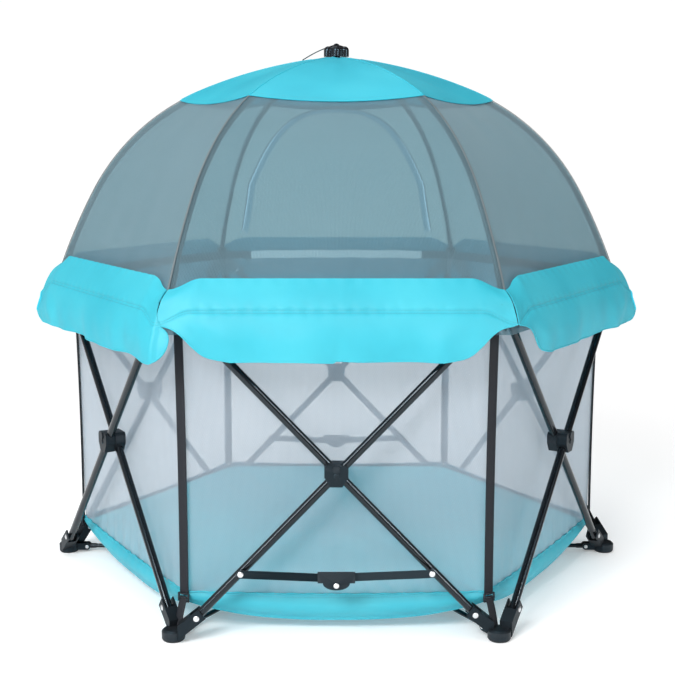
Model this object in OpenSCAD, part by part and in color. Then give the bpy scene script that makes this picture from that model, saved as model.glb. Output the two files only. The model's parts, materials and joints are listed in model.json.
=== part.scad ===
// Six-sided folding play yard with a domed canopy. Units are mm, +Z is up,
// the yard stands on Z = 0 and is centred on the Z axis. The front side faces -Y.

/* [Overall size] */
// Distance from the centre of the yard to each foot
foot_radius = 610; // [560:1:660]
// Height of the pivots at the lower tube ends
foot_pivot_height = 48; // [44:1:54]
// Height of the pivots at the upper tube ends
top_pivot_height = 592; // [570:1:610]
// Distance of each tube pivot from the corner, along the side
corner_offset = 45.4; // [42:0.2:48]

/* [Cross tubes] */
// Outer diameter of the cross tubes
tube_diameter = 16; // [14:0.5:18]
// Wall thickness of the cross tubes
tube_wall = 1.2; // [1:0.1:2]
// Distance from the middle of a side to each tube's own plane
tube_layer = 9; // [9:0.5:10]
// Radius of the rivets through the tubes
rivet_radius = 3; // [2.5:0.1:3.5]
// Running clearance round each rivet
rivet_clearance = 0.06; // [0.02:0.01:0.1]

/* [Lock bars] */
// Distance of the lock bar rivet from the lower tube pivot
lock_along = 120.6; // [112:0.2:130]
// Height of each flat lock bar
lock_bar_height = 15; // [12:1:18]
// How far the latch pin lies below the lock bar rivets
lock_drop = 19; // [16:0.5:22]

/* [Base] */
// Distance of each base strut hinge inside the corner
strut_inset = 42; // [40:1:46]
// Height of the base strut hinges
strut_height = 12; // [11:1:16]
// Distance from the centre at which the base struts end
hub_reach = 92; // [88:1:96]

/* [Canopy] */
// Radius of the bent canopy poles
pole_radius = 4.5; // [4:0.25:5]
// Gap between the middle of a pole and the cloth
cloth_gap = 7.5; // [7:0.5:9]
// Thickness of the canopy cloth
cloth_thickness = 1.4; // [1:0.1:2]

/* [Enclosure] */
// Distance from the centre to each floor corner
floor_radius = 570; // [560:1:574]
// Height of the top face of the floor mat
mat_height = 78; // [70:1:90]

/* [Hidden] */
apothem = foot_radius * cos(30);
half_run = foot_radius / 2 - corner_offset;
half_rise = (top_pivot_height - foot_pivot_height) / 2;
hub_height = foot_pivot_height + half_rise;
tube_angle = atan2(half_rise, half_run);
tube_length = 2 * norm([half_run, half_rise]);
tube_r = tube_diameter / 2;
bore_r = rivet_radius + rivet_clearance;
lock_x = half_run - lock_along * cos(tube_angle);
lock_z = foot_pivot_height + lock_along * sin(tube_angle);
pole_foot = [foot_radius - 10, top_pivot_height + 52];
pole_heading = 69.7;
pole_bends = [[1270, 8.4], [468, 38.9], [990, 15.4]];
function bend_dir(k) = [sin(k), cos(k)];
heading_2 = pole_heading - pole_bends[0][1];
heading_3 = heading_2 - pole_bends[1][1];
heading_4 = heading_3 - pole_bends[2][1];
centre_1 = pole_foot - pole_bends[0][0] * bend_dir(pole_heading);
joint_1 = centre_1 + pole_bends[0][0] * bend_dir(heading_2);
centre_2 = joint_1 - pole_bends[1][0] * bend_dir(heading_2);
joint_2 = centre_2 + pole_bends[1][0] * bend_dir(heading_3);
centre_3 = joint_2 - pole_bends[2][0] * bend_dir(heading_3);
pole_tip = centre_3 + pole_bends[2][0] * bend_dir(heading_4);
// a point on the canopy outline: turn is the angle turned since the pole's foot, out is the distance outside the pole
function pole_point(turn, out) =
    turn <= pole_bends[0][1]
        ? centre_1 + (pole_bends[0][0] + out) * bend_dir(pole_heading - turn)
    : turn <= pole_bends[0][1] + pole_bends[1][1]
        ? centre_2 + (pole_bends[1][0] + out) * bend_dir(pole_heading - turn)
        : centre_3 + (pole_bends[2][0] + out) * bend_dir(pole_heading - turn);
cap_turn = 41.5;
hub_x = pole_tip[0];
hub_z = pole_tip[1];

// ---------- placing ----------

// side n: x runs along the side, -y points outwards
module side(n) { rotate([0, 0, 60 * (n - 1)]) translate([0, -apothem, 0]) children(); }

// corner n: x points outwards
module corner(n) { rotate([0, 0, 60 * (n - 1) - 120]) translate([foot_radius, 0, 0]) children(); }

// radial frame of corner n, centred on the yard
module spoke(n) { rotate([0, 0, 60 * (n - 1) - 120]) children(); }

// ---------- shared shapes ----------

// solid of a shape drawn in x and z, between two y values
module slab(y0, y1) { translate([0, y1, 0]) rotate([90, 0, 0]) linear_extrude(y1 - y0) children(); }

// shaft along y
module shaft(r, y0, y1) { translate([0, y1, 0]) rotate([90, 0, 0]) cylinder(r = r, h = y1 - y0, $fn = 40); }

// low domed rivet head on the face at y, pointing to the given side
module rivet_head(y, way, r = 5.4) {
    translate([0, y, 0]) rotate([way > 0 ? -90 : 90, 0, 0]) {
        cylinder(r = r, h = 0.8, $fn = 40);
        translate([0, 0, 0.8]) cylinder(r1 = r, r2 = r * 0.62, h = 1, $fn = 40);
    }
}

// straight band between two points with round ends
module band(p, q, r) {
    d = q - p;
    translate(p) rotate(atan2(d[1], d[0])) {
        translate([0, -r]) square([norm(d), 2 * r]);
        circle(r = r, $fn = 48);
        translate([norm(d), 0]) circle(r = r, $fn = 48);
    }
}

// straight band between two points with square ends
module strip(p, q, r) {
    d = q - p;
    translate(p) rotate(atan2(d[1], d[0])) translate([0, -r]) square([norm(d), 2 * r]);
}

// ---------- corner brackets ----------

// one arm of a corner bracket, drawn upwards from z = 0; its rivet is at [corner_offset, 20]
module bracket_arm() {
    pivot = [corner_offset, 20];
    root = [0, -17];
    along = atan2(pivot[1] - root[1], pivot[0] - root[0]);
    far = pivot + 13 * [cos(along), sin(along)];
    for (m = [0, 1]) mirror([0, m, 0]) slab(9.4, 12.6) difference() {
        strip(root, far, 11);
        translate([-40, -60]) square([50, 120]);
    }
    slab(-9.6, 9.6) difference() {
        strip(root, pivot, 11);
        translate([-40, -60]) square([50, 120]);
        translate(pivot) circle(r = 13.2, $fn = 60);
    }
    translate([pivot[0], 0, pivot[1]]) {
        shaft(rivet_radius, -13, 13);
        rivet_head(-12.6, -1);
        rivet_head(12.6, 1);
    }
}

module foot_bracket() {
    for (s = [1, -1]) rotate([0, 0, 120 * s])
        translate([0, -tube_layer, foot_pivot_height - 20]) bracket_arm();
    difference() {
        union() {
            translate([0, 0, 4]) cylinder(r = 22, h = 14, $fn = 60);
            translate([0, 0, 18]) cylinder(r1 = 22, r2 = 18, h = 4, $fn = 60);
            // ears of the base strut hinge
            for (m = [0, 1]) mirror([0, m, 0]) slab(6.4, 9.4)
                band([-14, strut_height], [-strut_inset, strut_height], 7.5);
            slab(-6.5, 6.5) strip([-14, strut_height - 1], [-strut_inset + 12, strut_height - 1], 5);
        }
        translate([0, 0, -1]) cylinder(r = 6, h = 6, $fn = 40);
    }
    translate([-strut_inset, 0, strut_height]) {
        shaft(2.5, -9.6, 9.6);
        rivet_head(-9.4, -1, 4);
        rivet_head(9.4, 1, 4);
    }
}

module foot_pad() {
    difference() {
        union() {
            cylinder(r1 = 19, r2 = 21, h = 2, $fn = 60);
            translate([0, 0, 2]) cylinder(r = 21, h = 2, $fn = 60);
            translate([0, 0, 4]) cylinder(r = 5.9, h = 0.9, $fn = 40);
        }
        for (a = [0 : 60 : 300]) rotate([0, 0, a]) translate([12, 0, -1]) cylinder(r = 2, h = 2, $fn = 24);
    }
}

module top_bracket() {
    for (s = [1, -1]) rotate([0, 0, 120 * s])
        translate([0, tube_layer, top_pivot_height + 20]) mirror([0, 0, 1]) bracket_arm();
    translate([0, 0, top_pivot_height + 18]) cylinder(r1 = 17, r2 = 22, h = 5, $fn = 60);
    translate([0, 0, top_pivot_height + 23]) cylinder(r = 22, h = 15, $fn = 60);
    // ears of the canopy pole hinge
    x = pole_foot[0] - foot_radius;
    z = pole_foot[1];
    for (m = [0, 1]) mirror([0, m, 0]) slab(7.6, 10.8)
        band([x, z - 16], [x, z], 8);
    translate([x, 0, z]) {
        shaft(2.5, -11, 11);
        rivet_head(-10.8, -1, 4);
        rivet_head(10.8, 1, 4);
    }
}

// ---------- cross tubes ----------

module hub_outline() {
    polygon([[-22, 14], [-18, 19], [18, 19], [22, 14], [22, -3], [11, -21], [-11, -21], [-22, -3]]);
}

// a tube along x between its two pivots, with vented end plugs
module cross_tube() {
    difference() {
        union() {
            difference() {
                rotate([0, 90, 0]) cylinder(r = tube_r, h = tube_length + 14, center = true, $fn = 48);
                rotate([0, 90, 0]) cylinder(r = tube_r - tube_wall, h = tube_length - 30, center = true, $fn = 48);
            }
            for (m = [0, 1]) mirror([m, 0, 0]) translate([tube_length / 2 + 7, 0, 0]) rotate([0, 90, 0])
                cylinder(r1 = tube_r, r2 = tube_r - 2, h = 2, $fn = 48);
        }
        rotate([0, 90, 0]) cylinder(r = 2, h = tube_length + 60, center = true, $fn = 24);
        for (m = [-1, 1]) translate([m * tube_length / 2, 0, 0]) shaft(bore_r, -20, 20);
    }
}

// half of the shield-shaped cross hub, hugging its own tube
module hub_half(way, bored) {
    difference() {
        slab(way > 0 ? -8.5 : -12, way > 0 ? 12 : 8.5) hub_outline();
        if (bored) shaft(4 + rivet_clearance, -20, 20);
    }
    if (!bored) {
        shaft(4, 7.5, 30);
        rivet_head(-12, -1, 5);
        // round boss on the upper half
        translate([0, 0, 12]) shaft(7, -14.4, -11);
        rivet_head(2 * tube_layer + 12, 1, 5);
    }
}

// tube from the left foot to the right top corner, on the outside
module outer_tube() {
    translate([0, -tube_layer, hub_height]) {
        rotate([0, -tube_angle, 0]) cross_tube();
        hub_half(-1, false);
    }
}

// tube from the right foot to the left top corner, on the inside
module inner_tube() {
    translate([0, tube_layer, hub_height]) difference() {
        union() {
            rotate([0, tube_angle, 0]) cross_tube();
            hub_half(1, true);
        }
        shaft(4 + rivet_clearance, -20, 20);
    }
}

// rivet that carries a lock bar; it starts in the tube at y0
module lock_rivet(x, y0, y1) {
    translate([x, 0, lock_z]) {
        shaft(3, y1, y0);
        shaft(5, y1 + 3.6, y0);
        rivet_head(y1 + 0.3, -1);
    }
}

// ---------- lock bars ----------

lock_back = -tube_layer - 14.7;
latch_pin = [0, lock_z - lock_drop];
latch_half = 34.5;

// flat bar from its rivet to the middle of the side, with a lug down to the latch pin
module lock_bar_outline() {
    knee = [10, lock_z - 7];
    band([lock_x, lock_z], knee, lock_bar_height / 2);
    band(latch_pin + [3, 4], latch_pin, lock_bar_height / 2 - 1);
    polygon([[0, lock_z - 9], latch_pin + [-4.4, 1], latch_pin + [4.8, -1], [17, lock_z - 10]]);
}

module lock_bar(way, front) {
    mirror([way < 0 ? 1 : 0, 0, 0]) difference() {
        slab(front, front + 3) lock_bar_outline();
        translate([lock_x, 0, lock_z]) shaft(bore_r, -40, 0);
        if (way > 0) translate([0, 0, latch_pin[1]]) shaft(2 + rivet_clearance, -40, 0);
    }
}

module lock_bar_right() { lock_bar(1, lock_back + 0.4); }

module latch_outline() {
    polygon(concat(
        [[-latch_half, lock_z + 6], [latch_half, lock_z + 6], [latch_half, lock_z - 14]],
        [for (a = [0 : 9 : 180]) [25 * cos(a), lock_z - 14 - 13.5 * sin(a)]],
        [[-latch_half, lock_z - 14]]));
}

// left lock bar with the latch housing, open below so that the right bar can swing
module lock_bar_left() {
    lock_bar(-1, lock_back - 3);
    slab(lock_back - 10, lock_back - 7) latch_outline();
    slab(lock_back - 7.1, lock_back - 3.5) translate([-latch_half, lock_z + 4]) square([2 * latch_half, 2]);
    translate([0, 0, latch_pin[1]]) {
        shaft(5, lock_back - 7.1, lock_back - 2.9);
        rivet_head(lock_back - 10, -1, 5);
    }
    translate([-22, 0, lock_z - 6]) shaft(4.5, lock_back - 7.1, lock_back - 2.9);
}

// ---------- base ----------

module base_strut(n) {
    h = foot_radius - strut_inset;
    spoke(n) difference() {
        union() {
            translate([hub_reach, 0, strut_height]) rotate([0, 90, 0]) cylinder(r = 4.6, h = h - hub_reach - 4, $fn = 40);
            translate([h, 0, strut_height]) shaft(6, -6, 6);
            translate([h - 20, 0, strut_height]) rotate([0, 90, 0]) cylinder(r = 5.6, h = 16, $fn = 40);
            translate([hub_reach, 0, strut_height]) shaft(4.8, -4.6, 4.6);
        }
        translate([hub_reach - 20, 0, strut_height]) rotate([0, 90, 0]) cylinder(r = 3.4, h = h - hub_reach - 4, $fn = 32);
        translate([h, 0, strut_height]) shaft(2.5 + rivet_clearance, -20, 20);
    }
}

module base_hub() {
    translate([0, 0, 3]) cylinder(r = 24, h = 9.1, $fn = 60);
    translate([0, 0, 12]) cylinder(r1 = 24, r2 = 16, h = 3, $fn = 60);
}

// ---------- canopy frame ----------

// sixteen-sided section, as rolled fibreglass poles have
module round_section(r) { polygon([for (a = [11.25 : 22.5 : 350]) [r * cos(a), r * sin(a)]]); }

module pole_bend(c, bend, heading) {
    translate([c[0], 0, c[1]]) rotate([90, 0, 0]) rotate([0, 0, 90 - heading])
        rotate_extrude(angle = bend[1], $fn = 360) translate([bend[0], 0]) round_section(pole_radius);
}

module canopy_pole(n) {
    spoke(n) difference() {
        union() {
            pole_bend(centre_1, [pole_bends[0][0], pole_bends[0][1] - 1], pole_heading - 1);
            pole_bend(centre_2, pole_bends[1], heading_2);
            pole_bend(centre_3, pole_bends[2], heading_3);
            // foot fitting with its eye
            translate([pole_foot[0], 0, pole_foot[1]]) shaft(7, -7.2, 7.2);
            translate([pole_foot[0], 0, pole_foot[1]]) rotate([0, pole_heading - 91.2, 0]) cylinder(r = 5.8, h = 56, $fn = 40);
            // tip fitting
            translate([pole_tip[0], 0, pole_tip[1]]) shaft(5.4, -5, 5);
        }
        translate([pole_foot[0], 0, pole_foot[1]]) shaft(2.5 + rivet_clearance, -20, 20);
        translate([pole_tip[0], 0, pole_tip[1]]) shaft(2 + rivet_clearance, -20, 20);
    }
}

module crown_hub() {
    // ears under the cloth, open towards the middle
    translate([0, 0, hub_z - 18]) cylinder(r = 19, h = 8.5, $fn = 60);
    translate([0, 0, hub_z - 10]) cylinder(r = 8, h = 30, $fn = 60);
    for (n = [1, 4]) spoke(n) for (m = [0, 1]) mirror([0, m, 0]) slab(6, 8)
        polygon([[10, hub_z - 18], [24, hub_z - 18], [hub_x + 5, hub_z - 6], [hub_x + 5, hub_z + 5], [hub_x - 5, hub_z + 5], [hub_x - 12, hub_z - 8], [10, hub_z - 9.5]]);
    // wide forks: the poles beside the first one wander sideways while the canopy closes
    for (n = [2, 3, 5, 6]) spoke(n) for (m = [0, 1]) mirror([0, m, 0]) slab(12.4, 14.4)
        polygon([[8, hub_z - 18], [24, hub_z - 18], [hub_x + 3, hub_z - 7], [hub_x + 3, hub_z + 1], [hub_x - 2, hub_z + 1], [hub_x - 3, hub_z - 9.5], [8, hub_z - 9.5]]);
    spoke(1) translate([hub_x, 0, hub_z]) shaft(2, -8, 8);
    // fluted dome above the cloth
    translate([0, 0, hub_z + 13]) cylinder(r = 22, h = 15, $fn = 60);
    for (n = [1 : 6]) rotate([0, 0, 60 * n + 30]) translate([20.5, 0, 0]) {
        translate([0, 0, hub_z + 14]) cylinder(r = 9, h = 12, $fn = 40);
        translate([0, 0, hub_z + 26]) sphere(r = 9, $fn = 40);
    }
    translate([0, 0, hub_z + 27]) scale([1, 1, 0.52]) sphere(r = 22.5, $fn = 60);
    // loop for the cord
    translate([0, 0, hub_z + 34]) rotate([90, 0, 0]) rotate_extrude($fn = 48) translate([6.2, 0]) circle(r = 1.7, $fn = 20);
}

// ---------- cloth ----------

// a sheet whose outline is drawn as distance from the middle and height, stretched along side n and cut to that side's sixth
module sixth(n) {
    rotate([0, 0, 60 * (n - 1)]) intersection() {
        rotate([90, 0, -90]) linear_extrude(900, center = true) children();
        rotate([0, 0, -90]) linear_extrude(2400) polygon([[0, 0], [1100, -1100 * tan(30)], [1100, 1100 * tan(30)]]);
    }
}

module gore_outline(turn0, turn1, out, thick, steps) {
    polygon(concat(
        [for (i = [0 : steps]) let (p = pole_point(turn0 + (turn1 - turn0) * i / steps, out)) [p[0] * cos(30), p[1]]],
        [for (i = [steps : -1 : 0]) let (p = pole_point(turn0 + (turn1 - turn0) * i / steps, out + thick)) [p[0] * cos(30), p[1]]]));
}

module mesh_gores() {
    for (n = [1 : 6]) sixth(n) gore_outline(0.6, cap_turn - 0.3, cloth_gap, cloth_thickness, 16);
}

module cap_gores() {
    difference() {
        for (n = [1 : 6]) sixth(n) gore_outline(cap_turn, 62.6, cloth_gap, cloth_thickness + 0.6, 8);
        translate([0, 0, hub_z - 20]) cylinder(r = 14, h = 60, $fn = 48);
    }
}

module valance_flaps() {
    low = 532;
    for (n = [1 : 6]) intersection() {
        sixth(n) polygon([[533.5, 676], [554.5, 643], [560, 621], [568, 552], [569, low], [566.5, low], [565.5, 552], [557.5, 620], [551.8, 642], [530.5, 674]]);
        side(n) slab(-60, 20) difference() {
            translate([-340, low - 5]) square([680, 160]);
            for (m = [0, 1]) mirror([m, 0]) {
                translate([250, low - 10]) difference() {
                    square([120, 75]);
                    translate([0, 75]) circle(r = 65, $fn = 96);
                }
            }
        }
    }
}

module door_band() {
    difference() {
        side(4) translate([0, 0, 0]) intersection() {
            translate([0, apothem, 0]) rotate([0, 0, -180]) sixth(4) gore_outline(1, 41, cloth_gap + cloth_thickness + 1, 1.2, 16);
            slab(-60, 420) difference() {
                door_shape(0);
                door_shape(7);
                translate([-300, 592]) square([600, 100]);
            }
        }
    }
    side(4) translate([0, 0, 0]) door_slider();
}

module door_shape(inset) {
    translate([-236 + inset, 592]) square([472 - 2 * inset, 190]);
    translate([0, 782]) intersection() {
        circle(r = 236 - inset, $fn = 120);
        translate([-300, -1]) square([600, 300]);
    }
}

module door_slider() {
    p = pole_point(2.4, cloth_gap + cloth_thickness + 2.6);
    translate([232, -(p[0] * cos(30) - apothem) - 3.2, p[1]]) rotate([-18, 0, 0]) {
        cube([9, 3, 14], center = true);
        translate([0, -2.2, -9]) cube([4, 1.6, 18], center = true);
    }
}

module wall_sheets() {
    b = floor_radius * cos(30);
    for (n = [1 : 6]) sixth(n)
        polygon([[b, mat_height + 3], [b + 1.2, mat_height + 3], [b + 5.2, 608], [b + 4, 608]]);
}

module hem_ring() {
    b = floor_radius * cos(30) + 4;
    for (n = [1 : 6]) sixth(n) polygon([[b, 609], [b + 2.4, 609], [b + 2.4, 633], [b, 633]]);
}

module mat_section(n) {
    b = (floor_radius - 5) * cos(30);
    sixth(n) polygon([[0, mat_height - 10], [b - 1.5, mat_height - 10], [b, mat_height - 8.5], [b, mat_height - 1.5], [b - 1.5, mat_height], [0, mat_height]]);
}

// tub under the mat: sides that sag lowest at the middle of each side
module tub_sheets() {
    b = floor_radius * cos(30);
    for (n = [1 : 6]) difference() {
        sixth(n) polygon([[b, mat_height + 2], [b + 1.3, mat_height + 2], [b - 10, 21], [b - 12, 21]]);
        side(n) slab(-60, 120) translate([0, 21 - 1500]) difference() {
            translate([-400, 1400]) square([800, 160]);
            translate([0, 840 + 1500]) circle(r = 840, $fn = 360);
        }
    }
    // webbing star under the floor, with a pocket for the end of each base strut
    for (n = [1 : 6]) spoke(n) slab(-8, 8) polygon([
        [24.8, 4.6], [hub_reach + 20, 4.6], [hub_reach + 20, 5.8], [hub_reach - 6.2, 5.8], [hub_reach - 6.2, 17.2],
        [hub_reach + 20, 17.2], [hub_reach + 20, 18.4], [hub_reach - 7.4, 18.4], [hub_reach - 7.4, 5.8], [24.8, 5.8]]);
}

module corner_straps() {
    for (n = [1 : 6]) spoke(n) {
        slab(-10, 10) polygon([[floor_radius + 3, mat_height + 2], [floor_radius + 4.4, mat_height + 2], [floor_radius + 9.2, 585], [floor_radius + 7.8, 585]]);
    }
}

module foot_straps() {
    for (n = [1 : 6]) spoke(n) {
        slab(-8, 8) polygon([[floor_radius + 4.2, mat_height - 14], [floor_radius + 5.4, mat_height - 14], [floor_radius + 10.4, 44], [floor_radius + 9.2, 44]]);
    }
}

module strap_buckles() {
    for (n = [1 : 6]) spoke(n) translate([floor_radius + 4.2, 0, mat_height - 6]) difference() {
        cube([4, 26, 13], center = true);
        for (z = [-3.6, 3.6]) translate([0, 0, z]) cube([10, 20, 3.4], center = true);
    }
}

module cord() {
    reach = 38;
    fall = 17;
    spoke(6) translate([32, 0, hub_z + 30]) rotate([0, 90 + atan2(fall, reach), 0])
        linear_extrude(norm([reach, fall])) round_section(1);
}

// ---------- nodes ----------

module foot_1() { color([0.13, 0.13, 0.14]) corner(1) { foot_bracket(); foot_pad(); } }
module foot_2() { color([0.13, 0.13, 0.14]) corner(2) { foot_bracket(); foot_pad(); } }
module foot_3() { color([0.13, 0.13, 0.14]) corner(3) { foot_bracket(); foot_pad(); } }
module foot_4() { color([0.13, 0.13, 0.14]) corner(4) { foot_bracket(); foot_pad(); } }
module foot_5() { color([0.13, 0.13, 0.14]) corner(5) { foot_bracket(); foot_pad(); } }
module foot_6() { color([0.13, 0.13, 0.14]) corner(6) { foot_bracket(); foot_pad(); } }
module tube_a1() { color([0.07, 0.07, 0.08]) side(1) { outer_tube(); lock_rivet(-lock_x, -tube_layer - 4, lock_back - 3.5); } }
module tube_a2() { color([0.07, 0.07, 0.08]) side(2) outer_tube(); }
module tube_a3() { color([0.07, 0.07, 0.08]) side(3) outer_tube(); }
module tube_a4() { color([0.07, 0.07, 0.08]) side(4) { outer_tube(); lock_rivet(-lock_x, -tube_layer - 4, lock_back - 3.5); } }
module tube_a5() { color([0.07, 0.07, 0.08]) side(5) outer_tube(); }
module tube_a6() { color([0.07, 0.07, 0.08]) side(6) outer_tube(); }
module tube_b1() { color([0.07, 0.07, 0.08]) side(1) { inner_tube(); lock_rivet(lock_x, tube_layer - 4, lock_back - 0.1); } }
module tube_b2() { color([0.07, 0.07, 0.08]) side(2) inner_tube(); }
module tube_b3() { color([0.07, 0.07, 0.08]) side(3) inner_tube(); }
module tube_b4() { color([0.07, 0.07, 0.08]) side(4) { inner_tube(); lock_rivet(lock_x, tube_layer - 4, lock_back - 0.1); } }
module tube_b5() { color([0.07, 0.07, 0.08]) side(5) inner_tube(); }
module tube_b6() { color([0.07, 0.07, 0.08]) side(6) inner_tube(); }
module top_1() { color([0.13, 0.13, 0.14]) corner(1) top_bracket(); }
module top_2() { color([0.13, 0.13, 0.14]) corner(2) top_bracket(); }
module top_3() { color([0.13, 0.13, 0.14]) corner(3) top_bracket(); }
module top_4() { color([0.13, 0.13, 0.14]) corner(4) top_bracket(); }
module top_5() { color([0.13, 0.13, 0.14]) corner(5) top_bracket(); }
module top_6() { color([0.13, 0.13, 0.14]) corner(6) top_bracket(); }
module base_strut_1() { color([0.07, 0.07, 0.08]) base_strut(1); }
module base_strut_2() { color([0.07, 0.07, 0.08]) base_strut(2); }
module base_strut_3() { color([0.07, 0.07, 0.08]) base_strut(3); }
module base_strut_4() { color([0.07, 0.07, 0.08]) base_strut(4); }
module base_strut_5() { color([0.07, 0.07, 0.08]) base_strut(5); }
module base_strut_6() { color([0.07, 0.07, 0.08]) base_strut(6); }
module centre_hub() { color([0.13, 0.13, 0.14]) base_hub(); }
module lock_bar_fl() { color([0.07, 0.07, 0.08]) side(1) lock_bar_left(); }
module lock_bar_fr() { color([0.07, 0.07, 0.08]) side(1) lock_bar_right(); }
module lock_bar_bl() { color([0.07, 0.07, 0.08]) side(4) lock_bar_left(); }
module lock_bar_br() { color([0.07, 0.07, 0.08]) side(4) lock_bar_right(); }
module pole_1() { color([0.07, 0.07, 0.08]) canopy_pole(1); }
module pole_2() { color([0.07, 0.07, 0.08]) canopy_pole(2); }
module pole_3() { color([0.07, 0.07, 0.08]) canopy_pole(3); }
module pole_4() { color([0.07, 0.07, 0.08]) canopy_pole(4); }
module pole_5() { color([0.07, 0.07, 0.08]) canopy_pole(5); }
module pole_6() { color([0.07, 0.07, 0.08]) canopy_pole(6); }
module crown() { color([0.05, 0.05, 0.06]) crown_hub(); }
module canopy_mesh() { color([0.55, 0.66, 0.70]) mesh_gores(); }
module canopy_cap() { color([0.24, 0.80, 0.88]) cap_gores(); }
module valance() { color([0.24, 0.80, 0.88]) valance_flaps(); }
module door_zip() { color([0.62, 0.71, 0.76]) door_band(); }
module wall_mesh() { color([0.76, 0.80, 0.83]) wall_sheets(); }
module top_hem() { color([0.20, 0.21, 0.24]) hem_ring(); }
module mat_1() { color([0.24, 0.74, 0.82]) mat_section(1); }
module mat_2() { color([0.24, 0.74, 0.82]) mat_section(2); }
module mat_3() { color([0.24, 0.74, 0.82]) mat_section(3); }
module mat_4() { color([0.24, 0.74, 0.82]) mat_section(4); }
module mat_5() { color([0.24, 0.74, 0.82]) mat_section(5); }
module mat_6() { color([0.24, 0.74, 0.82]) mat_section(6); }
module floor_tub() { color([0.24, 0.80, 0.88]) tub_sheets(); }
module corner_webbing() { color([0.08, 0.09, 0.12]) corner_straps(); }
module foot_webbing() { color([0.08, 0.09, 0.12]) foot_straps(); }
module buckles() { color([0.08, 0.08, 0.09]) strap_buckles(); }
module pull_cord() { color([0.05, 0.05, 0.05]) cord(); }

foot_1();
foot_2();
foot_3();
foot_4();
foot_5();
foot_6();
tube_a1();
tube_a2();
tube_a3();
tube_a4();
tube_a5();
tube_a6();
tube_b1();
tube_b2();
tube_b3();
tube_b4();
tube_b5();
tube_b6();
top_1();
top_2();
top_3();
top_4();
top_5();
top_6();
base_strut_1();
base_strut_2();
base_strut_3();
base_strut_4();
base_strut_5();
base_strut_6();
centre_hub();
lock_bar_fl();
lock_bar_fr();
lock_bar_bl();
lock_bar_br();
pole_1();
pole_2();
pole_3();
pole_4();
pole_5();
pole_6();
crown();
canopy_mesh();
canopy_cap();
valance();
door_zip();
wall_mesh();
top_hem();
mat_1();
mat_2();
mat_3();
mat_4();
mat_5();
mat_6();
floor_tub();
corner_webbing();
foot_webbing();
buckles();
pull_cord();
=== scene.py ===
import json
import math

import bmesh
import bpy
import numpy as np
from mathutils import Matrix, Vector


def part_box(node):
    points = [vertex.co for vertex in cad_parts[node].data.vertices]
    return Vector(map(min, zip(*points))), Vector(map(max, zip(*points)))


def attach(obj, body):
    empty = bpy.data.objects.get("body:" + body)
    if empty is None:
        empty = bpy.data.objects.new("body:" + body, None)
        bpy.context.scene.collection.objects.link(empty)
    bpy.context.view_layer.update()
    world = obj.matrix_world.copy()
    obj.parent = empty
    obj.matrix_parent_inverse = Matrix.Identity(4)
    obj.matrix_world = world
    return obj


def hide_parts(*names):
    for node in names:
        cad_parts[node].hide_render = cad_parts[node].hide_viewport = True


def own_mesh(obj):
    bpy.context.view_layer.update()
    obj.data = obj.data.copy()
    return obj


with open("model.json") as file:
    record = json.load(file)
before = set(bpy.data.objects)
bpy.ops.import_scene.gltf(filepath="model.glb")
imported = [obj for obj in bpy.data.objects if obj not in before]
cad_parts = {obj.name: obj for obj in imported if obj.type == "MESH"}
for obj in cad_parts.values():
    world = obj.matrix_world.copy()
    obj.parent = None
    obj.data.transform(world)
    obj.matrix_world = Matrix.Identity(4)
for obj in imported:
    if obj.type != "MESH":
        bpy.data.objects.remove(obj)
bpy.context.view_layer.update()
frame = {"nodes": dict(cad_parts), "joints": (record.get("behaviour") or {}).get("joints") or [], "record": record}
NODE = frame["nodes"]

# ---------------------------------------------------------------- the frame's own measures, in metres
JOINT = {j["name"]: np.array(j["pos_m"]) for j in frame["joints"] if "pos_m" in j}
C30 = math.cos(math.radians(30))
R = float(np.hypot(*frame["record"]["mounts"][0]["pos_m"][:2]))
APO = R * C30
RUN = abs(float(JOINT["frame_fold"][0]))
LOW = float(JOINT["frame_fold"][2])
TOP = float(JOINT["top_2_pivot"][2])
HUB = float(JOINT["cross_1"][2])
LOCK_X = abs(float(JOINT["lock_bar_fl_pivot"][0]))
LOCK_Z = float(JOINT["lock_bar_fl_pivot"][2])
POLE_FOOT = np.array([np.hypot(*JOINT["pole_1_hinge"][:2]), JOINT["pole_1_hinge"][2]])
POLE_TIP = np.array([np.hypot(*JOINT["crown_hinge"][:2]), JOINT["crown_hinge"][2]])
STRUT_Z = float(JOINT["base_strut_1_hinge"][2])
CENTRE_REACH = 0.092  # how far from the middle the base struts end
FLOOR_R = 0.570  # corner radius of the walls and the floor
FLOOR_A = FLOOR_R * C30
MAT_Z = float(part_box("mat_1")[1][2])
RIM = float(POLE_FOOT[1])  # height of the canopy hinges, where dome, valance and wall meet
FLAP_SEAM = 0.060  # how far down the valance its stitched line lies

# the pole's bends: radius and angle turned, starting at a heading above the horizontal
HEADING = 69.7
BENDS = ((1.270, 8.4), (0.468, 38.9), (0.990, 15.4))
TURN_END = sum(b[1] for b in BENDS)


def _bend_centres():
    """(turn where it starts, centre, radius) of each bend of the pole."""
    p, h, out, start = POLE_FOOT.copy(), HEADING, [], 0.0
    for r, a in BENDS:
        c = p - r * np.array([math.sin(math.radians(h)), math.cos(math.radians(h))])
        out.append((start, c, r))
        h -= a
        start += a
        p = c + r * np.array([math.sin(math.radians(h)), math.cos(math.radians(h))])
    return out


CENTRES = _bend_centres()


def pole(turn, out=0.0):
    """(distance from the middle, height) of the canopy outline, 'out' outside the pole's middle line."""
    turn = np.asarray(turn, float)
    rho = np.zeros_like(turn)
    z = np.zeros_like(turn)
    for i, (s, c, r) in enumerate(CENTRES):
        m = turn >= s if i else turn > -99
        k = np.radians(HEADING - turn)
        rho = np.where(m, c[0] + (r + out) * np.sin(k), rho)
        z = np.where(m, c[1] + (r + out) * np.cos(k), z)
    return rho, z


def nxt(k):
    """The side or corner after k, anticlockwise from above."""
    return k % 6 + 1


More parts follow.
